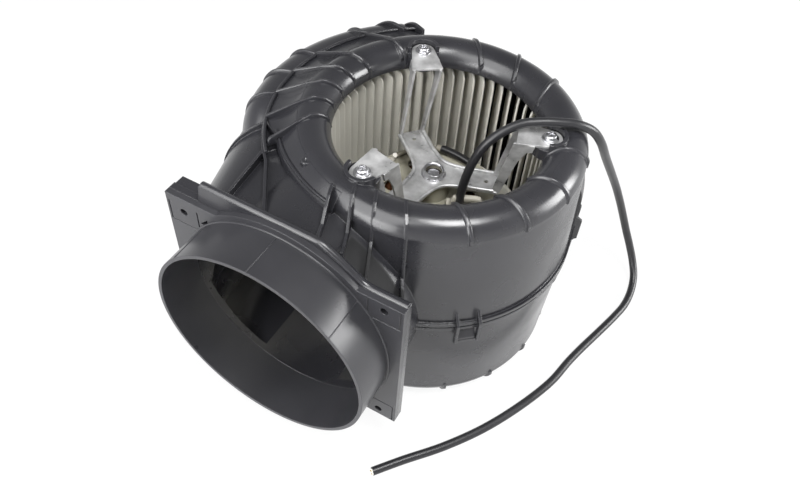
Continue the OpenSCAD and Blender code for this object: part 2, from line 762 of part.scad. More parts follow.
upper_housing();
lower_housing();
outlet_collar();
impeller_blades();
wheel_rings();
wheel_disc();
impeller_hub();
hub_nut();
motor_shaft();
rotor_core();
rotor_cage();
stator_core();
stator_windings();
upper_bobbin();
lower_bobbin();
upper_end_shield();
lower_end_shield();
upper_bush();
lower_bush();
thrust_washers();
motor_bolts();
motor_bracket();
bracket_washers();
bracket_screws();
terminal_block();
terminal_screws();
lead_sleeve();
mains_cord();
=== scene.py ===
"""Looks of a range hood blower: moulded scroll casing, bladed wheel, motor bracket and mains cord."""
import math

import bpy
import numpy as np
from mathutils import Matrix, Vector


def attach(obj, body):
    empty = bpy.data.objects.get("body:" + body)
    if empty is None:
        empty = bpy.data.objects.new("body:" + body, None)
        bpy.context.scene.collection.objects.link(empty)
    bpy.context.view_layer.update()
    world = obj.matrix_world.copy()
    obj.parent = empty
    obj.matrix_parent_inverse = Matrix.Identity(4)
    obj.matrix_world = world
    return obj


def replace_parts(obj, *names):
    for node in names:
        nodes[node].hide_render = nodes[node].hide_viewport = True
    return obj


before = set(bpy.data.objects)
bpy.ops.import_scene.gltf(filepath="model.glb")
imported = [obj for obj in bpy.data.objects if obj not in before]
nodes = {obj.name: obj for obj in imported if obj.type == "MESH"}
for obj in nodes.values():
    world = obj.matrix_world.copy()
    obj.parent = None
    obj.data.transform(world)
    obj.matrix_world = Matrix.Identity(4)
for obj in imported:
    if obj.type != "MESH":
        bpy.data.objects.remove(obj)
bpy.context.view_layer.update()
scene = bpy.context.scene
scene.view_settings.view_transform = "Standard"

# Sizes of the part's source, in millimetres and degrees
MM = 0.001
SEAM_Z = 94.5
RIM_Z = SEAM_Z + 73
RIM_MID_R = 82.25
RIM_ARCH_R = 14
INLET_R = 68.5
DRUM_END_R = 96
ROOF_Z = SEAM_Z + 70
OUTLET_X = -34.5
FLANGE_Y = -128
SPIGOT_R = 75
SPIGOT_L = 30
TAB_DIRS = (17, 127, 257)
TAB_TOP = 180
BOSS_R = 70
ARM_DIRS = (20, 140, 260)
ARM_STEP = 120
BRACKET_Z = 130
SHEET_T = 1.5
SHIELD_TOP = 115
UPRIGHT = np.array((0, 0, 1))

# Camera at the photograph's view: azimuth, elevation and roll in degrees, place in metres
CAMERA_TURN = (26.04, 49.87, 4.63)
CAMERA_AT = (0.1519, -0.3527, 0.5032)
CAMERA_LENS = 35.29
CAMERA_FILM = 36


def make_camera():
    """Camera whose back axis is the direction to the eye by azimuth and elevation; the level axis across
    it and the axis above that are turned about it by the roll."""
    az, el, roll = (math.radians(a) for a in CAMERA_TURN)
    back = Vector((math.sin(az) * math.cos(el), -math.cos(az) * math.cos(el), math.sin(el)))
    level = Vector((math.cos(az), math.sin(az), 0))
    above = back.cross(level)
    right = math.cos(roll) * level + math.sin(roll) * above
    up = -math.sin(roll) * level + math.cos(roll) * above
    cam = bpy.data.objects.new("camera", bpy.data.cameras.new("camera"))
    cam.data.sensor_width = CAMERA_FILM
    cam.data.lens = CAMERA_LENS
    cam.data.clip_start = 0.01
    cam.matrix_world = Matrix.Translation(CAMERA_AT) @ Matrix((right, up, back)).transposed().to_4x4()
    scene.collection.objects.link(cam)
    scene.camera = cam


make_camera()

# Meshes from arrays: a shape is its points in millimetres and a list of face arrays. ASKEW is a direction
# that no short curve runs along, and POLE_R the small hole at a pole that a cap or an inner wall closes.
SHARP_EDGE = math.radians(40)
ASKEW = (0.3, -0.9, 0.31)
POLE_R = 0.02


def make_piece(name, shapes, body, material):
    """A mesh piece from a list of shapes, riding on a CAD body: the points are stacked, and the point
    numbers of each shape's faces move up by the count of the points before it."""
    firsts = np.cumsum([0] + [len(points) for points, blocks in shapes])
    points = np.vstack([points for points, blocks in shapes]) * MM
    faces = []
    for first, (_, blocks) in zip(firsts, shapes):
        for block in blocks:
            faces += (block + first).tolist()
    mesh = bpy.data.meshes.new(name)
    mesh.from_pydata(points.tolist(), [], faces)
    mesh.polygons.foreach_set("use_smooth", [True] * len(mesh.polygons))
    mesh.materials.append(material)
    mesh.update()
    mesh.set_sharp_from_angle(angle=SHARP_EDGE)
    piece = bpy.data.objects.new(name, mesh)
    scene.collection.objects.link(piece)
    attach(piece, body)
    return piece


def grid_faces(rows, cols, wrap_rows=False):
    """Quads of a rows by cols grid whose columns close on themselves; wrap_rows joins the last row to the
    first one too."""
    i, j = np.meshgrid(np.arange(rows if wrap_rows else rows - 1), np.arange(cols), indexing="ij")
    next_i, next_j = (i + 1) % rows, (j + 1) % cols
    corners = [i * cols + j, i * cols + next_j, next_i * cols + next_j, next_i * cols + j]
    return np.stack(corners, -1).reshape(-1, 4)


def capped(rings):
    """Closed shape from rings of points, row after row, with a flat face on each end."""
    rows, cols = rings.shape[:2]
    first = np.arange(cols)[None]
    last = first + (rows - 1) * cols
    return rings.reshape(-1, 3), [grid_faces(rows, cols), first[:, ::-1], last]


def full_turn(steps):
    """Angles of a whole turn in even steps, in radians."""
    return np.linspace(0, 2 * np.pi, steps, endpoint=False)


def around(radius, turn, z):
    """Points about the fan axis: x and y are the radius times cos and sin of the turn in radians."""
    radius, turn, z = np.broadcast_arrays(radius, turn, z)
    return np.stack([radius * np.cos(turn), radius * np.sin(turn), z], -1)


def lathe(profile, at=(0, 0), low=0, steps=48):
    """Closed profile of (radius, height over low) turned about the upright axis through a point."""
    r, z = np.asarray(profile, float).T[..., None]
    rings = around(r, full_turn(steps), low + z)
    rings[..., :2] += at[:2]
    return rings.reshape(-1, 3), [grid_faces(len(r), steps, wrap_rows=True)]


def curve_through(points, steps):
    """Catmull-Rom curve: each span is the cubic through its two ends whose end slopes are half the chord
    of the neighbours."""
    p = np.asarray(points, float)
    q = np.vstack([p[:1], p, p[-1:]])
    a, b, c, d = (q[k:len(q) - 3 + k, None] for k in range(4))
    t = (np.arange(steps) / steps)[None, :, None]
    square, cube = 2 * a - 5 * b + 4 * c - d, 3 * b - a - 3 * c + d
    spans = 0.5 * (2 * b + (c - a) * t + square * t**2 + cube * t**3)
    return np.vstack([spans.reshape(-1, 3), p[-1:]])


def tube(path, radius, sides=12, flat=1.0, across=ASKEW, square=1.0):
    """Closed tube: at each point of the path a ring in the plane across it, centre plus radius times cos
    and sin of the turn along two side vectors, the first of them the path's direction crossed with
    across. flat scales the second one, and square under 1 raises cos and sin to that power, which makes a
    rounded square."""
    path = np.asarray(path, float)
    along = np.gradient(path, axis=0)
    along /= np.linalg.norm(along, axis=1)[:, None]
    side = np.cross(along, across)
    side /= np.linalg.norm(side, axis=1)[:, None]
    up = flat * np.cross(side, along)
    turn = full_turn(sides)
    c, s = (np.sign(w) * np.abs(w)**square for w in (np.cos(turn), np.sin(turn)))
    radius = np.broadcast_to(np.asarray(radius, float), len(path))[:, None, None]
    rings = path[:, None] + radius * (c[:, None] * side[:, None] + s[:, None] * up[:, None])
    return capped(rings[:, ::-1])


# Finishes. A noise shows over NOISE_SPAN of its factor, and edges wear over WEAR_SPAN of the cosine
# between their rounded and their flat normal. The MIX numbers are the Mix node's colour sockets.
NOISE_SPAN = (0.3, 0.7)
WEAR_SPAN = (0.80, 0.985)
RUB_GAIN, RUB_LIFT = 2.2, 0.02
BUMP_DEPTH = 0.1
# Share of the colour left inside the pocket boxes, as painted shade, and the roughness there
POCKET_PAINTED_SHADE = 0.25
POCKET_ROUGH = (0.85, 0.85, 0.85)
MIX_FACTOR, MIX_FIRST, MIX_SECOND, MIX_RESULT = 0, 6, 7, 2


def new_material(name, edge=0.5):
    """A material with a Principled shader, the Object coordinates that its patterns read, and a Bevel
    node that rounds the shading of its edges by a radius in millimetres."""
    material = bpy.data.materials.new(name)
    material.use_nodes = True
    tree = material.node_tree
    shader = tree.nodes["Principled BSDF"]
    place = tree.nodes.new("ShaderNodeTexCoord").outputs["Object"]
    rounded = tree.nodes.new("ShaderNodeBevel")
    rounded.samples = 4
    rounded.inputs["Radius"].default_value = edge * MM
    return material, tree, shader, place, rounded.outputs["Normal"]


def noise(tree, place, scale, detail, stretch=None):
    """Noise factor over the object, stretched along its axes by a Mapping node where asked."""
    if stretch:
        mapping = tree.nodes.new("ShaderNodeMapping")
        mapping.inputs["Scale"].default_value = stretch
        tree.links.new(place, mapping.inputs["Vector"])
        place = mapping.outputs["Vector"]
    node = tree.nodes.new("ShaderNodeTexNoise")
    node.inputs["Scale"].default_value = scale
    node.inputs["Detail"].default_value = detail
    tree.links.new(place, node.inputs["Vector"])
    return node.outputs["Fac"]


def ramp(tree, factor, stops):
    """Colour ramp over a factor; stops are (position, colour)."""
    node = tree.nodes.new("ShaderNodeValToRGB")
    band = node.color_ramp
    while len(band.elements) < len(stops):
        band.elements.new(0.5)
    for element, (at, colour) in zip(band.elements, stops):
        element.position = at
        element.color = (*colour, 1)
    tree.links.new(factor, node.inputs["Fac"])
    return node.outputs["Color"]


def grey(tree, factor, low, high, span=NOISE_SPAN):
    """Value that goes from low to high over a span of the factor."""
    return ramp(tree, factor, [(at, (level,) * 3) for at, level in zip(span, (low, high))])


def shaded(tree, factor, colour, spread):
    """Colour that goes from a darker to a lighter shade of itself over the factor."""
    c = np.array(colour)
    shades = c * (1 - spread), np.minimum(c * (1 + spread), 1)
    return ramp(tree, factor, list(zip(NOISE_SPAN, shades)))


def bump(tree, shader, height, strength, normal):
    """Height as a bump over the rounded normal."""
    node = tree.nodes.new("ShaderNodeBump")
    node.inputs["Strength"].default_value = strength
    node.inputs["Distance"].default_value = BUMP_DEPTH * MM
    tree.links.new(height, node.inputs["Height"])
    tree.links.new(normal, node.inputs["Normal"])
    tree.links.new(node.outputs["Normal"], shader.inputs["Normal"])


def blend(tree, factor, first, second):
    """Colour between a socket's colour and a plain one by a factor."""
    node = tree.nodes.new("ShaderNodeMix")
    node.data_type = "RGBA"
    tree.links.new(factor, node.inputs[MIX_FACTOR])
    tree.links.new(first, node.inputs[MIX_FIRST])
    node.inputs[MIX_SECOND].default_value = (*second, 1)
    return node.outputs[MIX_RESULT]


def combine(tree, operation, first, second):
    """Value of two sockets, or of a socket and a number, by a Math node's operation."""
    node = tree.nodes.new("ShaderNodeMath")
    node.operation = operation
    tree.links.new(first, node.inputs[0])
    if isinstance(second, float):
        node.inputs[1].default_value = second
    else:
        tree.links.new(second, node.inputs[1])
    return node.outputs["Value"]


def worn_edges(tree, normal, amount):
    """Share of wear: how far the rounded normal turns away from the face's own, spread to 0 to amount."""
    face = tree.nodes.new("ShaderNodeNewGeometry")
    turn = tree.nodes.new("ShaderNodeVectorMath")
    turn.operation = "DOT_PRODUCT"
    tree.links.new(normal, turn.inputs[0])
    tree.links.new(face.outputs["Normal"], turn.inputs[1])
    return grey(tree, turn.outputs["Value"], amount, 0.0, WEAR_SPAN)


def in_box(tree, place, low, high, soft=2):
    """Share that is 1 inside a box in millimetres and falls to 0 over a soft margin: the product of the
    clamped distances to the six walls."""
    split = tree.nodes.new("ShaderNodeSeparateXYZ")
    tree.links.new(place, split.inputs[0])
    shares = []
    for axis, (a, b) in enumerate(zip(low, high)):
        for wall, inside in ((a, a + soft), (b, b - soft)):
            span = tree.nodes.new("ShaderNodeMapRange")
            span.inputs["From Min"].default_value = wall * MM
            span.inputs["From Max"].default_value = inside * MM
            tree.links.new(split.outputs[axis], span.inputs["Value"])
            shares.append(span.outputs["Result"])
    product = shares[0]
    for share in shares[1:]:
        product = combine(tree, "MULTIPLY", product, share)
    return product


def moulded(name, colour, rough, grain=900, spread=0.12, relief=0.25, edge=0.5, wear=0.35, uneven=0.08,
            painted_shade_boxes=(), ior=1.5):
    """Moulded plastic: cloudy shade, uneven gloss, a fine spark-eroded grain and paler rubbed edges; a
    higher ior reflects more, and inside the listed pocket boxes the colour is darkened as painted shade
    and the gloss is rougher."""
    material, tree, shader, place, normal = new_material(name, edge)
    body = shaded(tree, noise(tree, place, scale=14, detail=5), colour, spread)
    rubbed = np.minimum(np.array(colour) * RUB_GAIN + RUB_LIFT, 1)
    body = blend(tree, worn_edges(tree, normal, wear), body, rubbed)
    gloss = grey(tree, noise(tree, place, scale=26, detail=6), rough - uneven, rough + uneven)
    # Painted shade: inside each box the colour is darkened and the gloss made rougher
    for low, high in painted_shade_boxes:
        share = in_box(tree, place, low, high)
        body = blend(tree, share, body, np.array(colour) * POCKET_PAINTED_SHADE)
        gloss = blend(tree, share, gloss, POCKET_ROUGH)
    tree.links.new(body, shader.inputs["Base Color"])
    tree.links.new(gloss, shader.inputs["Roughness"])
    shader.inputs["IOR"].default_value = ior
    bump(tree, shader, noise(tree, place, grain, detail=2), relief, normal)
    return material


def soiled(name, colour, dirt, rough, scale=55):
    """Paint or plastic with patches of dirt: a coarse noise shades the colour, a finer one puts dirt over
    it."""
    material, tree, shader, place, normal = new_material(name)
    body = shaded(tree, noise(tree, place, scale=30, detail=4), colour, spread=0.12)
    patches = grey(tree, noise(tree, place, scale, detail=6), 0.0, 0.85, span=(0.48, 0.66))
    gloss = grey(tree, noise(tree, place, scale=80, detail=3), rough - 0.08, rough + 0.12)
    tree.links.new(blend(tree, patches, body, dirt), shader.inputs["Base Color"])
    tree.links.new(gloss, shader.inputs["Roughness"])
    bump(tree, shader, noise(tree, place, scale=500, detail=3), 0.2, normal)
    return material


def bare_metal(name, colour, rough, stretch=(1, 1, 1), spread=0.1, scale=60, metal=1.0):
    """Bare or plated metal: one noise, drawn out to fine lines by the stretch, gives shade, gloss and
    bump."""
    material, tree, shader, place, normal = new_material(name, edge=0.4)
    lines = noise(tree, place, scale, 4, stretch)
    tree.links.new(shaded(tree, lines, colour, spread), shader.inputs["Base Color"])
    tree.links.new(grey(tree, lines, rough - 0.08, rough + 0.1), shader.inputs["Roughness"])
    shader.inputs["Metallic"].default_value = metal
    bump(tree, shader, lines, 0.15, normal)
    return material


# Boxes in millimetres over the pockets between the outlet's webs: inside them the casing's colour is darkened
# to paint the shade of deep pockets
WEB_POCKET_SHADE_BOXES = [((-4, -118.5, z), (42, -99.2, z + 66)) for z in (100, 23)]
casing_plastic = moulded("casing_plastic", (0.022, 0.022, 0.0255), 0.25, spread=0.2, relief=0.1, edge=0.9,
                         uneven=0.09, painted_shade_boxes=WEB_POCKET_SHADE_BOXES, ior=1.62)
collar_plastic = moulded("collar_plastic", (0.032, 0.032, 0.036), 0.31, grain=1400, spread=0.2, relief=0.1,
                         edge=0.7, uneven=0.04)
wheel_plastic = moulded("wheel_plastic", (0.60, 0.585, 0.525), 0.5, spread=0.08, relief=0.12, wear=0.2)
shield_paint = soiled("shield_paint", (0.33, 0.315, 0.25), (0.10, 0.09, 0.065), 0.5)
block_plastic = soiled("block_plastic", (0.42, 0.40, 0.34), (0.20, 0.18, 0.14), 0.5)
lug_plastic = soiled("lug_plastic", (0.70, 0.69, 0.64), (0.45, 0.42, 0.36), 0.4)
bobbin_plastic = moulded("bobbin_plastic", (0.70, 0.66, 0.55), 0.45)
sleeve_plastic = moulded("sleeve_plastic", (0.012, 0.012, 0.013), 0.3)
washer_plastic = moulded("washer_plastic", (0.09, 0.06, 0.04), 0.5)
cord_rubber = moulded("cord_rubber", (0.016, 0.016, 0.018), 0.36, grain=600, relief=0.3)
oil_felt = soiled("oil_felt", (0.030, 0.027, 0.024), (0.012, 0.011, 0.010), 0.8, scale=300)
bracket_sheet = bare_metal("bracket_sheet", (0.50, 0.50, 0.50), 0.34, spread=0.34, scale=110, metal=0.55)
plated_steel = bare_metal("plated_steel", (0.60, 0.60, 0.62), 0.28)
shaft_steel = bare_metal("shaft_steel", (0.55, 0.55, 0.57), 0.25, stretch=(1, 1, 40))
lamination_steel = bare_metal("lamination_steel", (0.25, 0.25, 0.27), 0.45, stretch=(1, 1, 60))
cast_aluminium = bare_metal("cast_aluminium", (0.66, 0.66, 0.68), 0.42)
copper_wire = bare_metal("copper_wire", (0.16, 0.07, 0.035), 0.45, stretch=(1, 1, 30))
bronze = bare_metal("bronze", (0.52, 0.38, 0.16), 0.38)

FINISHES = {
    "upper_housing": casing_plastic, "lower_housing": casing_plastic, "outlet_collar": collar_plastic,
    "impeller_blades": wheel_plastic, "wheel_rings": wheel_plastic, "wheel_disc": wheel_plastic,
    "impeller_hub": cast_aluminium, "hub_nut": plated_steel,
    "motor_shaft": shaft_steel, "rotor_core": lamination_steel, "rotor_cage": cast_aluminium,
    "stator_core": lamination_steel, "stator_windings": copper_wire, "upper_bobbin": bobbin_plastic,
    "lower_bobbin": bobbin_plastic, "upper_end_shield": shield_paint, "lower_end_shield": shield_paint,
    "upper_bush": bronze, "lower_bush": bronze, "thrust_washers": washer_plastic, "motor_bolts": plated_steel,
    "motor_bracket": bracket_sheet, "bracket_washers": plated_steel, "bracket_screws": plated_steel,
    "terminal_block": block_plastic, "terminal_screws": bronze, "lead_sleeve": sleeve_plastic,
    "mains_cord": cord_rubber}
for name, finish in FINISHES.items():
    nodes[name].data.materials.clear()
    nodes[name].data.materials.append(finish)

# Mains cord: its route, and how far the cores and wires of its cut end stand out, with their radii
CORD_D = 6
CORD_ROUTE = [
    [25, -9, 119], [25, -9, 126], [25, -8, 136], [26, -6, 148], [28, -2, 160], [32, 3, 171], [39, 9, 180],
    [48, 16, 186], [58, 22, 188], [68, 28, 188], [78, 35, 186], [87, 43, 179], [93, 51, 166], [97, 66, 143],
    [102, 83, 117], [107, 96, 95], [113, 104, 75], [119, 109, 57], [125, 111, 42], [132, 110, 29],
    [139, 106, 18], [145, 98, 10], [148, 86, 5], [148, 72, 3], [145, 57, 3], [141, 42, 3], [137, 28, 3],
    [133, 14, 3], [129, -2, 3], [124, -26, 3], [113, -55, 3], [98, -85, 3], [80, -112, 3], [61, -135, 3],
    [47, -153, 3]]
CORE_DIRS = (90, 210, 330)
CORE_OFF = 1.45
CORE_OUT, CORE_R = (-1, 0.3, 0.6), (1.15, 1.15, 1.0)
WIRE_OUT, WIRE_R = (-1, 0.7, 1.1), (0.55, 0.55, 0.4)


def make_cord():
    """Tube round the curve through the route, with three insulated cores in its cut end: each core is a
    tube beside the cord's axis that stands out a little, with a wire inside that stands out further."""
    path = curve_through(CORD_ROUTE, 6)
    cord = make_piece("cord_sheath", [tube(path, CORD_D / 2, 20)], "casing", cord_rubber)
    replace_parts(cord, "mains_cord")
    out = path[-1] - path[-2]
    out /= np.linalg.norm(out)
    side = np.cross(out, UPRIGHT)
    cores, wires = [], []
    for turn in np.radians(CORE_DIRS):
        start = path[-1] + CORE_OFF * (math.cos(turn) * side + math.sin(turn) * UPRIGHT)
        cores.append(tube(start + np.outer(CORE_OUT, out), CORE_R, 14))
        wires.append(tube(start + np.outer(WIRE_OUT, out), WIRE_R, 10))
    ends = [make_piece("cord_cores", cores, "casing", lug_plastic),
            make_piece("cord_wires", wires, "casing", bronze)]


make_cord()

# Wheel blades, with closer rows at both ends, where the inner edge is round
BLADES = 60
BLADE_IN_R = 70.6
BLADE_OUT_R = 84.45
BLADE_SWEEP = 12.5
BLADE_BEND = 0.28
BLADE_T = 1.3
BLADE_ROUND = 6
BLADE_END_ROWS = np.array((0, 0.4, 1.2, 2.5, 4.2))
WHEEL_LOW = 25.5
WHEEL_L = 138


def make_blades():
    """Forward-curved blades: along the chord share u the radius grows from inside to outside and the
    blade runs round by the sweep times a mix of the radius's share and its square; up the height the
    inner edge draws back on a quarter circle at both ends. Each blade is the closed strip of that sheet
    moved half its thickness to both sides, and turned about the axis to its place."""
    u = np.linspace(0, 1, 11)
    middle_rows = np.linspace(BLADE_ROUND, WHEEL_L - BLADE_ROUND, 5)
    height = np.concatenate([BLADE_END_ROWS, middle_rows, WHEEL_L - BLADE_END_ROWS[::-1]])
    from_end = np.minimum(np.minimum(height, WHEEL_L - height), BLADE_ROUND)
    inner = BLADE_IN_R + BLADE_ROUND - np.sqrt(BLADE_ROUND**2 - (BLADE_ROUND - from_end)**2)
    r = inner[:, None] + (BLADE_OUT_R - inner[:, None]) * u
    share = (r - BLADE_IN_R) / (BLADE_OUT_R - BLADE_IN_R)
    turn = BLADE_SWEEP * ((1 - BLADE_BEND) * share + BLADE_BEND * share**2) / r
    mid = np.dstack([r * np.cos(turn), r * np.sin(turn)])
    along = np.gradient(mid, axis=1)
    along /= np.linalg.norm(along, axis=2)[..., None]
    half = BLADE_T / 2 * np.dstack([-along[..., 1], along[..., 0]])
    section = np.concatenate([mid + half, (mid - half)[:, ::-1]], 1)
    z = np.repeat((WHEEL_LOW + height)[:, None], section.shape[1], 1)
    blades = []
    for a in full_turn(BLADES):
        turned = section @ np.array(((math.cos(a), math.sin(a)), (-math.sin(a), math.cos(a))))
        blades.append(capped(np.dstack([turned, z])[:, ::-1]))
    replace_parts(make_piece("wheel_blades", blades, "rotor", wheel_plastic), "impeller_blades")


make_blades()

# Screws and washers of the bracket
WASHER_T = 1.2
WASHER_PROFILE = [(2.2, 0), (5.3, 0), (5.5, 0.25), (5.4, 0.75), (5.1, 0.95), (4.3, 1.0), (4.1, WASHER_T),
                  (2.2, WASHER_T)]
HEAD_R = 3.8
HEAD_H = 2.55
HEAD_EDGE_R = 3.7
HEAD_EDGE_H = 1.3
HEAD_DOME = 0.9
CROSS_HALF, CROSS_SIDE = 0.62, 0.12
CROSS_REACH, CROSS_END = 2.3, 0.25
CROSS_DEPTH = 1.3
SHANK_L = 8
SHANK_R = 1.85
SHANK_NECK = 0.1
THREAD_H = 0.15
THREAD_PITCH = 0.8


def screw_shape(at):
    """Pan head with a cross recess: the top's height is a dome over the radius, less the recess where the
    smaller of the two distances to the arms of the cross is under the arm's half width; the shank below
    has a thread as a wave of its radius."""
    low = TAB_TOP + WASHER_T
    turn = full_turn(64)
    r = np.linspace(POLE_R, HEAD_EDGE_R, 30)[:, None]
    x, y = np.abs(r * np.cos(turn)), np.abs(r * np.sin(turn))
    in_arm = np.clip((CROSS_HALF - np.minimum(x, y)) / CROSS_SIDE, 0, 1)
    in_reach = np.clip((CROSS_REACH - np.maximum(x, y)) / CROSS_END, 0, 1)
    head = around(r, turn, low + HEAD_H - HEAD_DOME * (r / HEAD_R)**4 - CROSS_DEPTH * in_arm * in_reach)
    depth = np.linspace(0, SHANK_L, 41)
    shank = SHANK_R + THREAD_H * np.cos(2 * np.pi * depth / THREAD_PITCH)
    wall_r = np.concatenate([[HEAD_R, HEAD_R, SHANK_R + THREAD_H], shank, [POLE_R]])
    wall_z = low - np.concatenate([[-HEAD_EDGE_H, 0, 0], SHANK_NECK + depth, [SHANK_NECK + SHANK_L]])
    rings = np.concatenate([head, around(wall_r[:, None], turn, wall_z[:, None])])
    rings[..., :2] += at[:2]
    return capped(rings[::-1])


def make_fasteners():
    """Screws and their flat washers, turned profiles at the three bosses."""
    places = around(BOSS_R, np.radians(TAB_DIRS), 0)
    screws = [screw_shape(at) for at in places]
    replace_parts(make_piece("screw_heads", screws, "casing", plated_steel), "bracket_screws")
    washers = [lathe(WASHER_PROFILE, at, TAB_TOP) for at in places]
    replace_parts(make_piece("screw_washers", washers, "casing", plated_steel), "bracket_washers")


make_fasteners()

# Rolled edges of the bracket and the bearing on top of it
ARM_HALF = 8.75
ROLL_R = 1.25
ROLL_Z = BRACKET_Z + SHEET_T + 0.8
ROLL_ALONG = np.array((41.5, 36, 28, 21))
ROLL_CORNER_R = 13.6
CUP_Z = BRACKET_Z + SHEET_T
CUP_PROFILE = [(7.05, 0), (8.6, 0), (8.4, 0.5), (7.6, 0.8), (7.4, 1.4), (7.4, 3.2), (7.0, 3.7), (6.2, 3.8),
               (5.6, 3.4), (5.4, 2.8), (5.4, 2.4), (7.05, 2.4)]
FELT_Z = BRACKET_Z + 0.1
FELT_PROFILE = [(4.3, 0), (5.9, 0), (5.9, 0.7), (5.1, 1.1), (4.3, 0.7)]


def beside_arm(direction, along, aside):
    """Points at the rolls' height beside an arm: some way along its direction, and aside to its left."""
    a = math.radians(direction)
    x = along * math.cos(a) - aside * math.sin(a)
    y = along * math.sin(a) + aside * math.cos(a)
    return np.column_stack([x, y, np.full_like(x, ROLL_Z)])


def make_bracket_edges():
    """Rolls along the arms: each runs down the left side of one arm, round the hub and up the right side
    of the next one, as a tube on the curve through those points."""
    rolls = []
    for direction in ARM_DIRS:
        down = beside_arm(direction, ROLL_ALONG, ARM_HALF)
        corner = around(ROLL_CORNER_R, math.radians(direction + ARM_STEP / 2), ROLL_Z)
        up = beside_arm(direction + ARM_STEP, ROLL_ALONG[::-1], -ARM_HALF)
        rolls.append(tube(curve_through(np.vstack([down, corner, up]), 8), ROLL_R, across=UPRIGHT))
    make_piece("bracket_rolls", rolls, "casing", bracket_sheet)


def make_bearing_top():
    """Steel cup round the bearing's neck and a felt ring round the shaft, as turned profiles."""
    make_piece("bearing_cup", [lathe(CUP_PROFILE, low=CUP_Z)], "casing", plated_steel)
    make_piece("bearing_felt", [lathe(FELT_PROFILE, low=FELT_Z)], "casing", oil_felt)


make_bracket_edges()
make_bearing_top()

# Cord clamp and leads on the motor, as points along each; a lug also has its radius
CLAMP_AT = np.array((29, -6.5, 0))
CLAMP_DIR = math.radians(26)
CLAMP_R = 1.8
CLAMP_LEG = [(9, SHIELD_TOP), (9, 121), (9, 126), (8, 128.6), (5, 129)]
CLAMP_TOP = [(0, 129)]
LUGS = [
    ([(-37, 13, 116.5), (-36.5, 12, 119), (-35.5, 10.5, 122)], 1.7),
    ([(-40, 9, 116.5), (-38, 8.5, 118.5), (-35.5, 8, 120)], 1.5),
    ([(31, 3, 116), (31, 2.6, 119), (31, 2.2, 122)], 1.7),
    ([(35, 4.5, 116), (35, 4.2, 118.5), (35, 4, 121)], 1.5),
    ([(20, 24, 116), (20, 23.5, 119), (20.5, 23, 121.5)], 1.6)]
SLEEVE = [(-12, 37.6, 118.6), (-6, 37.8, 118.8), (1, 37.4, 118.7), (8, 36.6, 118.4), (14, 35.2, 118)]
SLEEVE_R = 2.9
PALE_TIP = [(-15.5, 37.2, 118.4), (-14, 37.4, 118.5), (-11, 37.6, 118.6)]
PALE_TIP_R = 2.5
RIGHT_LEAD = [(12, 35.4, 117.4), (18, 32, 117), (24, 25, 116.8), (29, 12, 117), (31, 4, 117.5)]
RIGHT_LEAD_R = 1.2
LEFT_LEAD = [(-17, 36.6, 117.2), (-26, 32, 116.6), (-33, 23, 116.4), (-36.5, 14, 117)]
LEFT_LEAD_R = 1.0


def make_clamp():
    """Cord clamp: a rounded square bar on an arch of two mirrored legs in an upright plane."""
    ahead = np.array((math.cos(CLAMP_DIR), math.sin(CLAMP_DIR), 0))
    x, z = np.array([(-x, z) for x, z in CLAMP_LEG] + CLAMP_TOP + CLAMP_LEG[::-1]).T
    arch = CLAMP_AT + np.outer(x, ahead) + np.outer(z, UPRIGHT)
    bar = tube(arch, CLAMP_R, 16, across=np.cross(ahead, UPRIGHT), square=0.5)
    make_piece("cord_clamp", [bar], "casing", block_plastic)


def make_leads():
    """Push-on lugs, the black sleeve with its pale tip and the thin leads, all as tubes along short
    curves."""
    lugs = [tube(curve_through(points, 4), radius) for points, radius in LUGS]
    make_piece("lead_lugs", lugs, "casing", lug_plastic)
    sleeve = tube(curve_through(SLEEVE, 6), SLEEVE_R, 18)
    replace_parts(make_piece("sleeve_tube", [sleeve], "casing", sleeve_plastic), "lead_sleeve")
    leads = [tube(curve_through(PALE_TIP, 4), PALE_TIP_R, 14),
             tube(curve_through(RIGHT_LEAD, 6), RIGHT_LEAD_R, 10),
             tube(curve_through(LEFT_LEAD, 6), LEFT_LEAD_R, 10)]
    make_piece("motor_leads", leads, "casing", block_plastic)


make_clamp()
make_leads()

# Roof of the casing, by direction in degrees and radius about the fan axis. A table of two rows gives a
# radius, a height or a share by direction, or a height by radius.
RING_R = 110.2
END_GAP = 0.2
RIM_SLOPE = 0.76
ARCH_LIMIT = 0.985
SKIRT_FROM, SKIRT_TO = 116, 259
SKIRT_IN_R = 90.5
SKIRT_TUCK = 1
SKIRT_LIFT = 0.05
SKIRT_EDGE = ((SKIRT_FROM, 131, 207, 215, 236, SKIRT_TO), (97, RING_R, RING_R, 103, 99.5, 97.5))
SKIRT_FOOT = ((207, 215, SKIRT_TO), (5.2, 6, 6.5))
LIP_OUT, LIP_DROP = 0.7, 0.9
LIP_UNDER_OUT, LIP_UNDER_Z = 1.2, ROOF_Z - 2
SHOULDER_FROM, SHOULDER_TO = 117, 226
SHOULDER_ENDS = ((SHOULDER_FROM, 131, 196, SHOULDER_TO), (1, 0, 0, 1))
SHOULDER_Z = ROOF_Z + 5.1
SHOULDER_TUCK = 0.4
SHOULDER_FALL, FALL_LIMIT = 30, 0.995
SHOULDER_SINK = 24
SHOULDER_DRAW_IN = 7
SHOULDER_UNDER_Z = 132
VOLUTE_R = 117.3
VOLUTE_SHIFT, VOLUTE_DIR = 19, 165
VOLUTE_C = around(VOLUTE_SHIFT, math.radians(VOLUTE_DIR), 0)[:2]


def skirt_edge(a):
    """Outer radius of the skirt by direction: it opens out behind the back boss, follows the ring rib,
    and then runs in along the neck."""
    return np.interp(a, *SKIRT_EDGE)


def shoulder_ends(a):
    """Share by which the shoulder has sunk into the casing, by direction: nought over most of its sweep
    and one at both ends, with smooth steps between, three times the square less twice the cube."""
    ends = np.interp(a, *SHOULDER_ENDS)
    return ends**2 * (3 - 2 * ends)


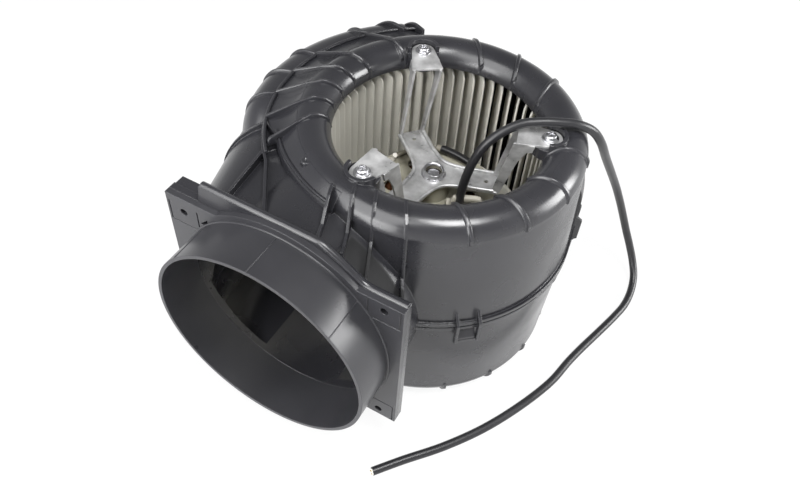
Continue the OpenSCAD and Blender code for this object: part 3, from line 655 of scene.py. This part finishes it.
def scroll_wall(a):
    """Radius of the shoulder's outer edge from the fan axis by direction: the volute's wall, a circle
    about the shifted middle, drawn in at both ends of the shoulder."""
    from_shift = np.radians(a - VOLUTE_DIR)
    along, beside = VOLUTE_SHIFT * np.cos(from_shift), VOLUTE_SHIFT * np.sin(from_shift)
    return along + np.sqrt(VOLUTE_R**2 - beside**2) - SHOULDER_DRAW_IN * shoulder_ends(a)


def shoulder_top(r, a):
    """Height of the shoulder from the ring rib to the wall: nearly level, then down on a rounded curve,
    and sunk into the roof at both ends of its sweep."""
    u = np.clip((r - RING_R) / (scroll_wall(a) - RING_R), 0, FALL_LIMIT)
    return SHOULDER_Z - SHOULDER_SINK * shoulder_ends(a) - SHOULDER_FALL * (1 - np.sqrt(1 - u**3))


def casing_top(x, y):
    """Height of the rim, of the skirt outside it and of the shoulder: the rim is an arch over the radius,
    from the skirt's inner radius on the surface leaves with the rim's slope and bends with the square of
    the way out, and from the ring rib on it is the shoulder."""
    r, a = np.hypot(x, y), np.degrees(np.arctan2(y, x)) % 360
    off = np.clip((r - RIM_MID_R) / RIM_ARCH_R, -ARCH_LIMIT, ARCH_LIMIT)
    rim = RIM_Z + RIM_ARCH_R * np.sqrt(1 - off**2)
    top = RIM_Z + math.sqrt(RIM_ARCH_R**2 - (SKIRT_IN_R - RIM_MID_R)**2)
    drop = top - ROOF_Z - np.interp(a, *SKIRT_FOOT)
    width = skirt_edge(a) - SKIRT_IN_R
    first = RIM_SLOPE * width / drop
    u = (r - SKIRT_IN_R) / width
    skirt = top - drop * (first * u + (1 - first) * u**2)
    on_skirt = (r > SKIRT_IN_R) & (a > SKIRT_FROM) & (a < SKIRT_TO)
    on_shoulder = (r > RING_R) & (a > SHOULDER_FROM) & (a < SHOULDER_TO)
    return np.where(on_shoulder, shoulder_top(r, a), np.where(on_skirt, np.maximum(rim, skirt), rim))


def skirt_shape():
    """Roof between the rim and the ring rib: a grid over direction and way out at the casing's top
    height, with a lip at its edge turned down into the roof."""
    a = np.linspace(SKIRT_FROM + END_GAP, SKIRT_TO - END_GAP, 150)[:, None]
    turn = np.radians(a)
    inner, edge = SKIRT_IN_R - SKIRT_TUCK, skirt_edge(a)
    r = inner + (edge - inner) * np.linspace(0, 1, 16)
    z = casing_top(r * np.cos(turn), r * np.sin(turn)) + SKIRT_LIFT
    lip = around(edge + LIP_OUT, turn, z[:, -1:] - LIP_DROP)
    foot = around(edge + LIP_UNDER_OUT, turn, LIP_UNDER_Z)
    root = around(r[:, :1], turn, LIP_UNDER_Z)
    return capped(np.concatenate([around(r, turn, z), lip, foot, root], 1))


def shoulder_shape():
    """Roof from the ring rib to the volute's wall: a grid over direction and way out at the shoulder's
    height, with closer rows towards the wall, closed by a row just inside the wall and one under the ring
    rib."""
    a = np.linspace(SHOULDER_FROM + END_GAP, SHOULDER_TO - END_GAP, 130)[:, None]
    turn = np.radians(a)
    inner = RING_R - SHOULDER_TUCK
    r = inner + (scroll_wall(a) - inner) * (1 - np.linspace(1, 0, 24)**1.6)
    foot = around(0.99 * r[:, -1:], turn, SHOULDER_UNDER_Z)
    root = around(r[:, :1], turn, SHOULDER_UNDER_Z)
    return capped(np.concatenate([around(r, turn, shoulder_top(r, a)), foot, root], 1))


# Ribs of the roof: each is the direction of its start and its lean from the radius
RIM_RIBS = [(-56 + 21.5 * i, 17) for i in range(4)] + [(50 + 21.5 * i, 34) for i in range(3)]
RIM_RIB_HALF = 1.8
RIM_RIB_H = 1.75
RIM_RIB_END = DRUM_END_R + 0.6
ROOF_RIBS = [(136.8, 24)] + [(160 + 12.25 * i, 21 + 2 * i) for i in range(4)]
ROOF_RIB_HALF = 1.4
ROOF_RIB_END = 140
NECK_RIB = (209, 28)
NECK_RIB_END = 109
CREST_FROM = 82
CREST = ((CREST_FROM, 90, 97, RING_R), (183.5, 181.3, 178.4, 173))
CREST_LEAST_H = 1.2
CREST_SHOULDER_H = 2.3
RIB_ALONG = np.linspace(-1.4, 95, 240)
RIB_ACROSS = np.linspace(-1, 1, 13)
RIB_FADE = 5
RIB_ROOT = 0.3
RIB_UNDER = 1.2


def rib_crest(r, floor):
    """Height of a roof rib by radius: a little over the rim, then an even fall to the ring rib, and a
    little over the shoulder from there."""
    line = np.maximum(np.interp(r, *CREST), floor + CREST_LEAST_H)
    return np.where((r > CREST_FROM) & (r < RING_R), line, floor + CREST_SHOULDER_H)


def roof_ridge(direction, lean, half, outer, tall=False):
    """Rounded ridge along a rib, from the inlet out to a radius or to the volute's wall: across it the
    height is one less the cube of the share of the half width, or its seventh power on a tall rib, along
    it the base follows the casing's top, and both ends fade out with the root of the steps from the
    end."""
    start = around(INLET_R + 1, math.radians(direction), 0)[:2]
    ahead = around(1, math.radians(direction + lean), 0)[:2]
    aside = np.array((-ahead[1], ahead[0]))
    line = start + RIB_ALONG[:, None] * ahead
    radius, scroll = np.hypot(*line.T), np.hypot(*(line - VOLUTE_C).T)
    line = line[(radius > INLET_R - 0.1) & (radius < outer) & (scroll < VOLUTE_R - 1)]
    plan = line[:, None] + (half * RIB_ACROSS)[:, None] * aside
    step = np.arange(len(line))
    fade = np.sqrt(np.minimum(1, np.minimum(step, step[::-1]) / RIB_FADE))[:, None]
    base = casing_top(plan[..., 0], plan[..., 1])
    crest = rib_crest(np.hypot(plan[..., 0], plan[..., 1]), base) if tall else base + RIM_RIB_H
    root = base - RIB_ROOT
    top = root + (crest - root) * (1 - np.abs(RIB_ACROSS)**(7 if tall else 3)) * fade
    under = np.dstack([plan, base - RIB_UNDER])
    return capped(np.concatenate([np.dstack([plan, top]), under[:, ::-1]], 1))


# Plates over the shoulder: start, end, the share that stays level and the fall. Their edge is by the
# share of the half width and the drop below the top.
FINS = [
    ((-88, 62), (-118, 60), 0, 17.5),
    ((-70, 80), (-103, 85.5), 0.25, 33),
    ((-58, 86), (-88, 99), 0.2, 37)]
FIN_TOP = ROOF_Z + 9.8
FIN_HALF = 1.25
FIN_EDGE = np.array([(0, 0), (0.7, 0.12), (0.95, 0.5), (1, 1.1), (1, 12)])

# Bead beside the neck, ring rib and dimpled boss
BEAD_DIRS = np.arange(214, SKIRT_TO - 1, 3)
BEAD_R = 1.1
BEAD_IN, BEAD_LIFT = 1.2, 0.7
RING_DIRS = np.arange(125, 227, 3)
RING_RIB_R = 1.2
RING_RIB_Z = ROOF_Z + 6.2
DIMPLE_AT = (-49.7, -76.4)
DIMPLE_PROFILE = [(POLE_R, 0.1), (0.9, 0.2), (1.5, 0.9), (2.2, 1.1), (2.9, 0.8), (3.4, -0.2), (3.4, -3),
                  (POLE_R, -3)]


def fin_shape(start, end, level, fall):
    """Rounded plate over the shoulder between two points: its top stays level for a share of the way and
    then falls with the square of the rest, and across it the edge is round."""
    start, end = np.array(start), np.array(end)
    ahead = (end - start) / np.linalg.norm(end - start)
    aside = np.array((-ahead[1], ahead[0]))
    share = np.linspace(0, 1, 40)[:, None]
    top = FIN_TOP - fall * np.maximum(share - level, 0)**2
    mirrored = FIN_EDGE[:0:-1] * (-1, 1)
    v, down = np.concatenate([mirrored, FIN_EDGE]).T
    plan = (start + share * (end - start))[:, None] + (FIN_HALF * v)[:, None] * aside
    return capped(np.dstack([plan, top - down]))


def bead_shape():
    """Bead along the skirt's edge beside the neck, a tube at the casing's top height."""
    r, turn = skirt_edge(BEAD_DIRS) - BEAD_IN, np.radians(BEAD_DIRS)
    z = casing_top(r * np.cos(turn), r * np.sin(turn)) + BEAD_LIFT
    return tube(around(r, turn, z), BEAD_R, across=UPRIGHT)


def make_roof():
    """Ridges over the rim's ribs, the skirt and the shoulder, and on these the taller ribs with the
    plates, the bead, the ring rib and the dimpled boss."""
    ridges = [roof_ridge(*rib, RIM_RIB_HALF, RIM_RIB_END) for rib in RIM_RIBS]
    make_piece("rim_ridges", ridges, "casing", casing_plastic)
    make_piece("roof_skirt", [skirt_shape(), shoulder_shape()], "casing", casing_plastic)
    ribs = [roof_ridge(*rib, ROOF_RIB_HALF, ROOF_RIB_END, tall=True) for rib in ROOF_RIBS]
    ribs.append(roof_ridge(*NECK_RIB, ROOF_RIB_HALF, NECK_RIB_END, tall=True))
    fins = [fin_shape(*fin) for fin in FINS]
    ring = tube(around(RING_R, np.radians(RING_DIRS), RING_RIB_Z), RING_RIB_R, across=UPRIGHT)
    boss = lathe(DIMPLE_PROFILE, DIMPLE_AT, casing_top(*DIMPLE_AT), 32)
    make_piece("roof_ribs", ribs + fins + [bead_shape(), ring, boss], "casing", casing_plastic)


make_roof()

# Details of the outlet: the spigot's parting lines and fillet, and the flange's rolled top edge
LINE_DIRS = (-135, -45, 45, 90, 135)
LINE_R = 0.45
LINE_ENDS = (FLANGE_Y - 0.2, FLANGE_Y - SPIGOT_L / 2, FLANGE_Y - SPIGOT_L + 0.2)
FILLET_DIRS = np.arange(0, 361, 4)
FILLET_R = 0.9
SUNK = 0.1
EDGE_Y = FLANGE_Y + 6.5
EDGE_R = 2.0
EDGE_FLAT = 1.2
EDGE_LINE = [(-57.5, 79.4), (-35, 79.4), (-10, 79.4), (12, 79.4), (24, 78.8), (33, 74.6), (41, 69.4),
             (48, 64.6), (54, 61.4), (61, 60.4), (71, 60.4), (82, 60.4)]


def round_outlet(direction, radius, y):
    """Points round the outlet's axis: x and z from the axis are the radius times cos and sin of the
    direction."""
    a, y = np.broadcast_arrays(np.radians(direction), y)
    return np.column_stack([OUTLET_X + radius * np.cos(a), y, SEAM_Z + radius * np.sin(a)])


def make_outlet_details():
    """Parting lines as thin half-round ridges along the spigot, a fillet where it leaves its plate and
    the rolled edge along the top of the casing's flange, all tubes along curves."""
    lines = [tube(round_outlet(a, SPIGOT_R - SUNK, LINE_ENDS), LINE_R, 10) for a in LINE_DIRS]
    fillet = tube(round_outlet(FILLET_DIRS, SPIGOT_R + SUNK, FLANGE_Y - SUNK), FILLET_R, 10, across=(0, 1, 0))
    make_piece("collar_lines", lines + [fillet], "casing", collar_plastic)
    edge = curve_through([(OUTLET_X + x, EDGE_Y, SEAM_Z + z) for x, z in EDGE_LINE], 8)
    roll = tube(edge, EDGE_R, 14, flat=EDGE_FLAT, across=(0, 1, 0))
    make_piece("flange_roll", [roll], "casing", casing_plastic)


make_outlet_details()

# Floor and light, in metres: the sky's grey by height, its strength on the left and the right, and the
# lamps by place, size and power
FLOOR_HALF = 6
FLOOR_PAINT = (0.9, 0.9, 0.9, 1)
FLOOR_GLOW = 0.88
SKY_BANDS = [(0.05, 0.85), (0.45, 0.42), (0.9, 0.22)]
SKY_LEFT, SKY_RIGHT = 0.72, 1.0
SKY_SPAN = (0.0, 0.5)
WHITE = (1.0, 1.0, 1.0)
LAMP_AIM = Vector((0, 0, 0.1))
LAMPS = [
    ("lamp_right", (0.9, 0.5, 0.40), 0.5, 10), ("lamp_front", (-0.35, -0.75, 0.95), 1.0, 13),
    ("lamp_low", (-0.25, -1.0, 0.30), 0.6, 8), ("lamp_top", (0.32, -0.22, 1.15), 0.4, 10)]


def make_floor():
    """Pale floor that shows white to the camera and in reflections and keeps a soft shadow: a matt paint
    mixed with a plain glow, by a share of what the camera's and the glossy rays see."""
    material = bpy.data.materials.new("floor_white")
    material.use_nodes = True
    tree = material.node_tree
    tree.nodes.clear()
    out = tree.nodes.new("ShaderNodeOutputMaterial")
    mix = tree.nodes.new("ShaderNodeMixShader")
    paint = tree.nodes.new("ShaderNodeBsdfDiffuse")
    paint.inputs["Color"].default_value = FLOOR_PAINT
    glow = tree.nodes.new("ShaderNodeEmission")
    rays = tree.nodes.new("ShaderNodeLightPath").outputs
    seen = combine(tree, "MAXIMUM", rays["Is Camera Ray"], rays["Is Glossy Ray"])
    tree.links.new(combine(tree, "MULTIPLY", seen, FLOOR_GLOW), mix.inputs["Fac"])
    tree.links.new(paint.outputs[0], mix.inputs[1])
    tree.links.new(glow.outputs[0], mix.inputs[2])
    tree.links.new(mix.outputs[0], out.inputs["Surface"])
    mesh = bpy.data.meshes.new("floor")
    corners = [(FLOOR_HALF * x, FLOOR_HALF * y, 0) for x, y in ((-1, -1), (1, -1), (1, 1), (-1, 1))]
    mesh.from_pydata(corners, [], [(0, 1, 2, 3)])
    mesh.materials.append(material)
    floor = bpy.data.objects.new("floor", mesh)
    scene.collection.objects.link(floor)


def make_sky():
    """Sky that is white to the camera; to the object it is bright near the horizon and weaker on the
    left."""
    world = bpy.data.worlds.new("studio")
    world.use_nodes = True
    tree = world.node_tree
    background = tree.nodes["Background"].inputs
    split = tree.nodes.new("ShaderNodeSeparateXYZ")
    tree.links.new(tree.nodes.new("ShaderNodeTexCoord").outputs["Generated"], split.inputs[0])
    seen = tree.nodes.new("ShaderNodeLightPath").outputs["Is Camera Ray"]
    light = ramp(tree, split.outputs["Z"], [(height, (tone,) * 3) for height, tone in SKY_BANDS])
    strength = grey(tree, split.outputs["X"], SKY_LEFT, SKY_RIGHT, SKY_SPAN)
    tree.links.new(blend(tree, seen, light, WHITE), background["Color"])
    tree.links.new(combine(tree, "MAXIMUM", strength, seen), background["Strength"])
    scene.world = world


def make_lamps():
    """Soft square lamps round the object, each turned to the same point inside it."""
    for name, at, size, power in LAMPS:
        lamp = bpy.data.objects.new(name, bpy.data.lights.new(name, "AREA"))
        lamp.data.size = size
        lamp.data.energy = power
        lamp.location = at
        lamp.rotation_mode = "QUATERNION"
        lamp.rotation_quaternion = (LAMP_AIM - Vector(at)).to_track_quat("-Z", "Y")
        scene.collection.objects.link(lamp)


make_floor()
make_sky()
make_lamps()
